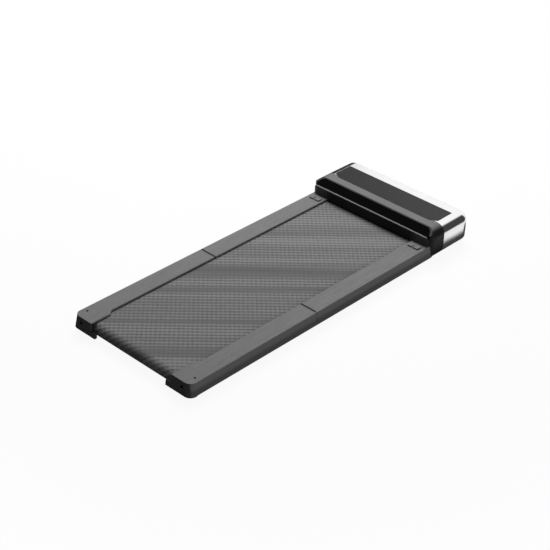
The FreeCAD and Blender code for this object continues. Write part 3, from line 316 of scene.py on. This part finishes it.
def metal(name, color, roughness, streak=(1, 1, 1), scale=300, depth=0.03 * MM):
    """Bare metal with a drawn or turned grain."""
    finish = Finish(name, color, roughness, metallic=1.0)
    grain = finish.noise(scale, streak, detail=3)
    finish.color(finish.blend(grain, toned(color, -0.06), color))
    finish.roughness(finish.spread(grain, roughness * 0.75, roughness * 1.25))
    finish.bump(grain, depth, strength=0.3)
    return finish


def rail_finish(name, painted_side_foot, painted_side_edge):
    """Grey rail: a top with fine lengthwise lines, sides with painted shade at the foot and painted light near the
    top edge, and painted shade on the end that faces the tail.
    """
    finish = Finish(name, grey(0.17), 0.55, specular=0.3)
    coarse = finish.noise(260, stretch=(1, 0.05, 1), detail=4)
    fine = finish.noise(700, stretch=(1, 0.15, 1), detail=3)
    slow = finish.noise(5, stretch=(1, 0.4, 1), detail=4)
    fine_share = 0.55
    coarse_lines = finish.math("MULTIPLY", coarse, 1 - fine_share)
    lines = finish.math("ADD", coarse_lines, finish.math("MULTIPLY", fine, fine_share))
    top = finish.blend(finish.rise(lines, (0.32, 0.68)), grey(0.155), grey(0.245))
    # Painted shade and light up each side: darker at the foot, lighter near the top edge
    side = finish.blend(finish.rise(finish.place("Z"), RAIL_SIDE_SHADE_Z), painted_side_foot, painted_side_edge)
    upward = finish.rise(finish.facing("Z"), TOP_FACING)
    # Painted shade on faces that look towards the tail
    painted_tail_shade = finish.fall(finish.facing("Y"), TAIL_SHADE_FACING)
    finish.color(finish.blend(painted_tail_shade, finish.blend(upward, side, top), grey(0.1)))
    finish.roughness(finish.spread(slow, 0.45, 0.62))
    finish.bump(lines, 0.3 * MM, strength=0.5)
    finish.bump(finish.noise(1400, detail=2), 0.08 * MM, strength=0.3)
    return finish


def wave_scale(rate, period):
    """The scale at which a wave texture of a given rate repeats after a period."""
    return 2 * math.pi / (rate * period)


def belt_finish():
    """Rubber running belt: a diamond weave, with slanted rows and threads that come and go in bands."""
    finish = Finish("belt_weave", grey(0.165), 0.65, specular=0.2)
    weave_scale = wave_scale(DIAGONAL_RATE, WEAVE_PERIOD)
    ridges = []
    for side in (1, -1):
        vector = finish.coordinates("UV", (weave_scale, side * weave_scale, 1))
        ridges.append(finish.waves("DIAGONAL", vector))
    weave = finish.math("MULTIPLY", *ridges)
    fibre = finish.noise(1500, detail=3, space="UV")
    bands = finish.noise(11, stretch=(0.03, 1, 1), detail=4, space="UV", turn=ROW_SLANT)
    strands = finish.noise(120, stretch=(1, 0.25, 1), detail=2, space="UV", turn=ROW_SLANT)
    weighted_lines = [(strands, STRAND_WEIGHT)]
    crossing = (("Y", ROW_PERIOD, ROW_WEIGHT), ("X", THREAD_PERIOD, THREAD_WEIGHT))
    for direction, period, weight in crossing:
        vector = finish.coordinates("UV", turn=ROW_SLANT)
        waves = finish.waves(direction, vector, wave_scale(STRAIGHT_RATE, period), distortion=0.3)
        weighted_lines.append((waves, weight))
    openness = finish.spread(bands, 0.15, 1.0, (0.42, 0.56))
    cloth = finish.math("SUBTRACT", bands, 0.5)
    for lines, weight in weighted_lines:
        relief = finish.math("MULTIPLY", finish.math("SUBTRACT", lines, 0.5), openness)
        cloth = finish.math("ADD", cloth, finish.math("MULTIPLY", relief, weight))
    tone = finish.blend(finish.rise(cloth, (-0.2, 0.2)), grey(0.096), grey(0.275))
    woven = finish.blend(weave, grey(0.1), grey(0.3))
    finish.color(finish.blend(finish.spread(fibre, 0.1, 0.35), tone, woven))
    finish.roughness(finish.spread(weave, 0.75, 0.58))
    finish.bump(weave, 0.4 * MM, strength=0.5)
    finish.bump(fibre, 0.1 * MM, strength=0.4)
    return finish


def wrap_finish():
    """Polished aluminium, drawn lengthwise."""
    finish = Finish("wrap_polished", grey(0.93, 0.005), 0.08, metallic=1.0)
    draw = finish.noise(420, stretch=(1, 0.02, 1), detail=3)
    smudge = finish.noise(6, detail=5)
    finish.color(finish.blend(draw, grey(0.9, 0.005), grey(0.955, 0.005)))
    finish.roughness(finish.spread(smudge, 0.06, 0.12))
    finish.bump(draw, 0.02 * MM, strength=0.25)
    return finish


def bezel_finish():
    """Satin plastic: painted light in grey where it faces up, painted shade in black down the sides."""
    finish = Finish("bezel_satin", grey(0.1), 0.4, specular=0.2)
    slow = finish.noise(8, detail=4)
    # Lit and shaded copies of one plastic: painted light on top, painted shade on the sides
    top = finish.blend(slow, grey(0.158), grey(0.2))
    side = finish.blend(slow, grey(0.009, 0.0004), grey(0.013, 0.0005))
    finish.color(finish.blend(finish.rise(finish.facing("Z"), BEZEL_LIT_FACING), side, top))
    finish.roughness(finish.spread(finish.noise(30), 0.36, 0.48))
    finish.bump(finish.noise(1100, detail=2), 0.08 * MM, strength=0.3)
    return finish


def fascia_finish():
    """Satin face standing proud, paler at its ends, with a painted highlight on its top lip, before a near-black
    gloss backing.
    """
    finish = Finish("fascia_satin", grey(0.05, 0.001), 0.45, specular=0.15)
    slow = finish.noise(8, detail=4)
    middle = finish.blend(slow, grey(0.005, 0.0003), grey(0.009, 0.0004))
    ends = finish.blend(slow, grey(0.06, 0.001), grey(0.075, 0.001))
    sideways = finish.math("ABSOLUTE", finish.place("X"))
    face = finish.blend(finish.rise(sideways, FASCIA_END_X), middle, ends)
    # Painted highlight: pale grey on the lip's upward faces
    face_and_painted_lip = finish.blend(finish.rise(finish.facing("Z"), TOP_FACING), face, grey(0.26))
    backing = finish.rise(finish.place("Y"), FASCIA_BACKING_Y)
    finish.color(finish.blend(backing, face_and_painted_lip, grey(0.005, 0.0005)))
    finish.roughness(finish.spread(backing, 0.45, 0.16))
    finish.bump(finish.noise(1100, detail=2), 0.08 * MM, strength=0.3)
    return finish


def lens_finish():
    """Near-black gloss with slight smudges."""
    finish = Finish("lens_gloss", grey(0.002, 0.0002), 0.06)
    finish.roughness(finish.spread(finish.noise(12, detail=5), 0.04, 0.1))
    finish.bump(finish.noise(25, detail=1), 0.05 * MM, strength=0.1)
    return finish


def end_finish():
    """Moulded end plate, with painted shade making its upward faces blacker than its upright faces."""
    finish = grained("end_cap_plastic", grey(0.1), 0.5, specular=0.25)
    upright = finish.blend(finish.noise(7, detail=5), grey(0.088), grey(0.112))
    # Painted shade: near-black on faces that look up
    painted_shade_on_top = finish.rise(finish.facing("Z"), LEDGE_SHADE_FACING)
    finish.color(finish.blend(painted_shade_on_top, upright, grey(0.012, 0.0005)))
    return finish


def deck_finish():
    """Waxed fibreboard with a fleck."""
    finish = Finish("deck_fibre", (0.3, 0.21, 0.13), 0.5)
    fleck = finish.noise(420, stretch=(1, 0.4, 1), detail=5)
    finish.color(finish.blend(fleck, (0.24, 0.165, 0.10), (0.36, 0.26, 0.165)))
    finish.roughness(finish.spread(fleck, 0.42, 0.6))
    finish.bump(fleck, 0.1 * MM, strength=0.3)
    return finish


COARSE = {"grain": 500, "depth": 0.2 * MM}
RUBBERY = {"grain": 700, "depth": 0.2 * MM, "specular": 0.3}
SMOOTH = {"tone": 0.05, "grain": 1600, "depth": 0.04 * MM, "specular": 0.3}

FINISHES = {
    # Rail sides get painted shade at the foot and painted light near the top edge
    "rail": rail_finish("rail_grained", painted_side_foot=grey(0.17), painted_side_edge=grey(0.3)),
    "end_plate": end_finish(),
    "belt": belt_finish(),
    "frame": moulded("frame_powder", grey(0.03), 0.55, **COARSE),
    "deck": deck_finish(),
    "rubber": moulded("rubber_black", grey(0.02, 0), 0.75, **RUBBERY),
    "steel": metal("steel_zinc", grey(0.56, 0.01), 0.3),
    "hinge": moulded("hinge_oxide", grey(0.035, 0.003), 0.4, grain=600),
    "roller": metal("roller_turned", grey(0.5, 0.01), 0.28, streak=(40, 1, 1), scale=20),
    "wrap": wrap_finish(),
    "bezel": bezel_finish(),
    "panel": moulded("panel_satin", grey(0.017, 0.0005), 0.36, **SMOOTH),
    "lens": lens_finish(),
    "fascia": fascia_finish(),
    "base": moulded("base_grain", grey(0.025, 0.001), 0.55, **COARSE),
    "board": moulded("board_mask", (0.02, 0.12, 0.05), 0.35),
    "motor": moulded("motor_enamel", grey(0.04), 0.35, grain=700),
    "aluminium": metal("aluminium_cast", grey(0.6, 0.01), 0.38, scale=160, depth=0.1 * MM),
    "contacts": metal("contact_brass", (0.62, 0.48, 0.22), 0.25),
    "switch": moulded("switch_plastic", grey(0.02, 0), 0.3, grain=1200),
    "rocker": moulded("rocker_plastic", grey(0.05), 0.28, grain=1200),
    "wheel": moulded("wheel_rubber", grey(0.045, 0), 0.6, grain=600, depth=0.2 * MM),
}

# Pieces whose finish differs from the rest of their slot
OWN_FINISHES = {
    "tension_blocks": moulded("block_oxide", grey(0.03, 0.001), 0.45, grain=600),
    "rail_plugs": moulded("plug_black", grey(0.004, 0.0002), 0.6, specular=0.1),
    # Bumpers: grey top as on the rails, near-black painted shade down their sides
    "fold_bumpers": rail_finish("bumper_grained", grey(0.008, 0.0005), grey(0.012, 0.0005)),
}


def dress_nodes():
    """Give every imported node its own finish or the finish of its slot."""
    for part in frame["record"]["subparts"]:
        node = frame["nodes"][part["node"]]
        finish = OWN_FINISHES.get(part["node"], FINISHES[part["material_slot"]]).material
        if not node.data.materials:
            node.data.materials.append(finish)
        for slot in node.material_slots:
            slot.material = finish


# Running belt

def straight(y_start, y_end, z, step, fine_step, fine_reach):
    """Points along a run, closer together near the fold."""
    touching = 1e-9
    points = [y_start]
    way = 1 if y_end > y_start else -1
    edge = SEAM_Y - way * fine_reach
    while (y_end - points[-1]) * way > touching:
        near = abs(points[-1] + way * fine_step / 2 - SEAM_Y) < fine_reach
        stride = fine_step if near else step
        ahead = points[-1] + way * stride
        if not near and (edge - points[-1]) * way > touching and (ahead - edge) * way > 0:
            ahead = edge
        if (ahead - y_end) * way > 0:
            ahead = y_end
        points.append(ahead)
    return [Vector((0, y, z)) for y in points]


def turn_points(y, start_angle, steps):
    """Points of a half turn round a roller from a start angle, without its first and last point."""
    axis = Vector((0, y, ROLLER_AXIS_Z))
    angles = [start_angle - math.pi * step / steps for step in range(1, steps)]
    return [axis + BELT_RADIUS * Vector((0, math.cos(angle), math.sin(angle))) for angle in angles]


def outward(points, y):
    """Directions from a roller's axis to points round it."""
    axis = Vector((0, y, ROLLER_AXIS_Z))
    return [(point - axis).normalized() for point in points]


def belt_section():
    """Outline across the belt: places across it, and depths below its outer face."""
    soft = 0.4 * MM
    strips = 10
    flat_half = BELT_HALF - soft
    across = [flat_half * (2 * step / strips - 1) for step in range(strips + 1)]
    outer = [(x, 0) for x in across]
    inner = [(x, BELT_THICKNESS) for x in reversed(across)]
    right = [(BELT_HALF, soft), (BELT_HALF, BELT_THICKNESS - soft)]
    left = [(-BELT_HALF, BELT_THICKNESS - soft), (-BELT_HALF, soft)]
    return outer + right + inner + left


def belt_piece(name, path, normals):
    """A flat belt swept along a path in the middle plane, with softened edges."""
    section = belt_section()
    count = len(section)
    verts, faces, along = [], [], []
    travelled = 0.0
    for order, (point, normal) in enumerate(zip(path, normals)):
        if order:
            travelled += (point - path[order - 1]).length
        for x, depth in section:
            verts.append(point - normal * depth + Vector((x, 0, 0)))
            along.append(travelled)
    for ring in range(len(path) - 1):
        low, high = ring * count, (ring + 1) * count
        for step in range(count):
            ahead = (step + 1) % count
            faces.append((low + step, low + ahead, high + ahead, high + step))
    mesh = bpy.data.meshes.new(name)
    mesh.from_pydata(verts, [], faces)
    layer = mesh.uv_layers.new(name="belt")
    for loop in mesh.loops:
        layer.data[loop.index].uv = (verts[loop.vertex_index].x, along[loop.vertex_index])
    mesh.shade_smooth()
    mesh.set_sharp_from_angle(angle=math.radians(50))
    mesh.materials.append(FINISHES["belt"].material)
    piece = bpy.data.objects.new(name, mesh)
    scene.collection.objects.link(piece)
    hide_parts("belt_front", "belt_rear")
    return piece


def running_belt():
    """The belt in two lengths that meet under the rollers, with their points closer together near the fold."""
    up, down = Vector((0, 0, 1)), Vector((0, 0, -1))
    top_z, low_z = ROLLER_AXIS_Z + BELT_RADIUS, ROLLER_AXIS_Z - BELT_RADIUS
    run_step, top_step, low_step = 30 * MM, 1 * MM, 2 * MM
    top_reach, low_reach = 10 * MM, 45 * MM
    turn_steps = 28
    run = straight(REAR_ROLLER_Y, FRONT_ROLLER_Y, top_z, run_step, top_step, top_reach)
    front = turn_points(FRONT_ROLLER_Y, math.pi / 2, turn_steps)
    rear = turn_points(REAR_ROLLER_Y, 3 * math.pi / 2, turn_steps)
    front_end, rear_end = Vector((0, FRONT_ROLLER_Y, low_z)), Vector((0, REAR_ROLLER_Y, low_z))
    path = [rear_end] + rear + run + front + [front_end]
    normals = [down] + outward(rear, REAR_ROLLER_Y) + [up for _ in run]
    normals += outward(front, FRONT_ROLLER_Y) + [down]
    upper = belt_piece("belt_upper", path, normals)
    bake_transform(upper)
    back = straight(FRONT_ROLLER_Y, REAR_ROLLER_Y, low_z, run_step, low_step, low_reach)
    lower = belt_piece("belt_lower", back, [down for _ in back])
    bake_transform(lower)


# Stage

class StageNodes(Nodes):
    """The nodes of the floor or the world, where values change in smooth steps."""

    interpolation = "SMOOTHSTEP"

    def __init__(self, owner):
        owner.use_nodes = True
        super().__init__(owner.node_tree)
        self.tree.nodes.clear()
        self.rays = self.node("ShaderNodeLightPath").outputs

    def light(self, kind, strength):
        """White light of a strength, from an emission or a background node."""
        made = self.node(kind)
        set_input(made, "Color", (1, 1, 1, 1))
        self.feed(made.inputs["Strength"], strength)
        return made.outputs[0]

    def mix(self, factor, first, second):
        """A shader that goes from the first to the second as the factor grows."""
        made = self.node("ShaderNodeMixShader")
        for slot, source in enumerate((factor, first, second)):
            self.wire(source, made.inputs[slot])
        return made.outputs["Shader"]


def lit_pool(nodes, place):
    """Where reflections show the floor lit: away from the part's sides and behind it, but not on the cards; close
    along the part's sides they show a painted shadow.
    """
    plane = nodes.split(place)
    across, along = plane["X"], plane["Y"]
    near_card = nodes.math("MULTIPLY", nodes.rise(along, NEAR_CARD_Y), nodes.rise(across, NEAR_CARD_X))
    slanted = nodes.math("ADD", across, nodes.math("MULTIPLY", along, FAR_CARD_SLANT))
    far_card = nodes.math("MULTIPLY", nodes.rise(along, FAR_CARD_Y), nodes.fall(slanted, FAR_CARD_EDGE))
    tail_card = nodes.fall(along, TAIL_CARD_Y)
    cards = nodes.math("MAXIMUM", tail_card, nodes.math("MAXIMUM", near_card, far_card))
    # Painted shadow: close along the part's sides the floor shows dark in reflections
    clear_of_painted_shadow = nodes.rise(nodes.math("ABSOLUTE", across), PAINTED_SHADOW_EDGE_X)
    behind = nodes.rise(along, POOL_BACK_Y)
    clear = nodes.math("SUBTRACT", 1.0, cards)
    return nodes.math("MULTIPLY", nodes.math("MAXIMUM", clear_of_painted_shadow, behind), clear)


def stage_floor():
    """A pale floor that shows white and keeps a soft shadow; reflections show its pool and cards, and a painted
    shadow along the part's sides.
    """
    mesh = bpy.data.meshes.new("studio_floor")
    signs = ((-1, -1), (1, -1), (1, 1), (-1, 1))
    corners = [(x * FLOOR_REACH, y * FLOOR_REACH, 0) for x, y in signs]
    mesh.from_pydata(corners, [], [(0, 1, 2, 3)])
    floor = bpy.data.objects.new("studio_floor", mesh)
    scene.collection.objects.link(floor)
    material = bpy.data.materials.new("floor_pale")
    mesh.materials.append(material)
    nodes = StageNodes(material)
    matte = nodes.node("ShaderNodeBsdfDiffuse")
    tint = nodes.blend(nodes.rays["Is Diffuse Ray"], FLOOR_PALE, FLOOR_DULL)
    nodes.wire(tint, matte.inputs["Color"])
    place = nodes.node("ShaderNodeTexCoord").outputs["Object"]
    radius = nodes.node("ShaderNodeVectorMath", operation="LENGTH")
    nodes.wire(place, radius.inputs[0])
    whiteness = nodes.spread(radius.outputs["Value"], WHITE_SHARE, 1.0, ALL_WHITE_RADIUS)
    seen = nodes.math("MAXIMUM", nodes.rays["Is Camera Ray"], nodes.rays["Is Transmission Ray"])
    seen_white = nodes.math("MULTIPLY", seen, whiteness)
    mirrored_white = nodes.math("MULTIPLY", nodes.rays["Is Glossy Ray"], GLOSSY_SHARE)
    glowing = nodes.math("MAXIMUM", seen_white, mirrored_white)
    white = nodes.light("ShaderNodeEmission", 1.0)
    pale = nodes.mix(glowing, matte.outputs["BSDF"], white)
    off_pool = nodes.math("SUBTRACT", 1.0, lit_pool(nodes, place))
    mirrored_card = nodes.math("MULTIPLY", nodes.rays["Is Glossy Ray"], off_pool)
    card = nodes.light("ShaderNodeEmission", CARD_LEVEL)
    output = nodes.node("ShaderNodeOutputMaterial")
    nodes.wire(nodes.mix(mirrored_card, pale, card), output.inputs["Surface"])


def white_walls(nodes, direction):
    """Where reflections show white: a wall behind the head, the walls at the sides and the ceiling."""
    across, along, upward = (direction[axis] for axis in "XYZ")
    between = nodes.math("MULTIPLY", nodes.fall(across, BACK_WALL_NEAR_X),
                         nodes.rise(across, BACK_WALL_FAR_X))
    back = nodes.math("MULTIPLY", nodes.rise(along, BACK_WALL_Y), between)
    sideways = nodes.math("ABSOLUTE", across)
    sides = nodes.math("MULTIPLY", nodes.rise(sideways, SIDE_WALL_X), nodes.fall(along, SIDE_WALL_Y))
    ceiling = nodes.math("MULTIPLY", nodes.rise(upward, CEILING_Z), nodes.rise(along, CEILING_Y))
    return nodes.math("MAXIMUM", back, nodes.math("MAXIMUM", sides, ceiling))


def stage_world():
    """White surroundings with a low ambient light; reflections show white walls and dark flags."""
    world = bpy.data.worlds.new("studio")
    scene.world = world
    nodes = StageNodes(world)
    direction = nodes.split(nodes.node("ShaderNodeTexCoord").outputs["Generated"])
    walls = nodes.math("MAXIMUM", white_walls(nodes, direction), FLAG_LEVEL)
    mirrored = nodes.light("ShaderNodeBackground", walls)
    headward = nodes.spread(direction["Y"], TAIL_AMBIENT, HEAD_AMBIENT, HEAD_AMBIENT_Y)
    nearward = nodes.spread(direction["X"], 0.0, SIDE_AMBIENT, SIDE_AMBIENT_X)
    ambient = nodes.light("ShaderNodeBackground", nodes.math("ADD", headward, nearward))
    white = nodes.light("ShaderNodeBackground", 1.0)
    bounced = nodes.math("MAXIMUM", nodes.rays["Is Glossy Ray"], nodes.rays["Is Transmission Ray"])
    around = nodes.mix(bounced, ambient, mirrored)
    output = nodes.node("ShaderNodeOutputWorld")
    nodes.wire(nodes.mix(nodes.rays["Is Camera Ray"], around, white), output.inputs["Surface"])


def stage_lamp():
    """One large soft lamp, high up on the far side by the head."""
    data = bpy.data.lights.new("key_softbox", "AREA")
    data.shape = "RECTANGLE"
    data.size = KEY_SIZE
    data.size_y = KEY_SIZE
    data.energy = KEY_POWER
    lamp = bpy.data.objects.new("key_softbox", data)
    scene.collection.objects.link(lamp)
    lamp.location = KEY_PLACE
    lamp.rotation_euler = (KEY_AIM - KEY_PLACE).to_track_quat("-Z", "Y").to_euler()
    lamp.visible_glossy = False
    lamp.visible_camera = False


place_camera()
stage_world()
stage_floor()
stage_lamp()
dress_nodes()
running_belt()
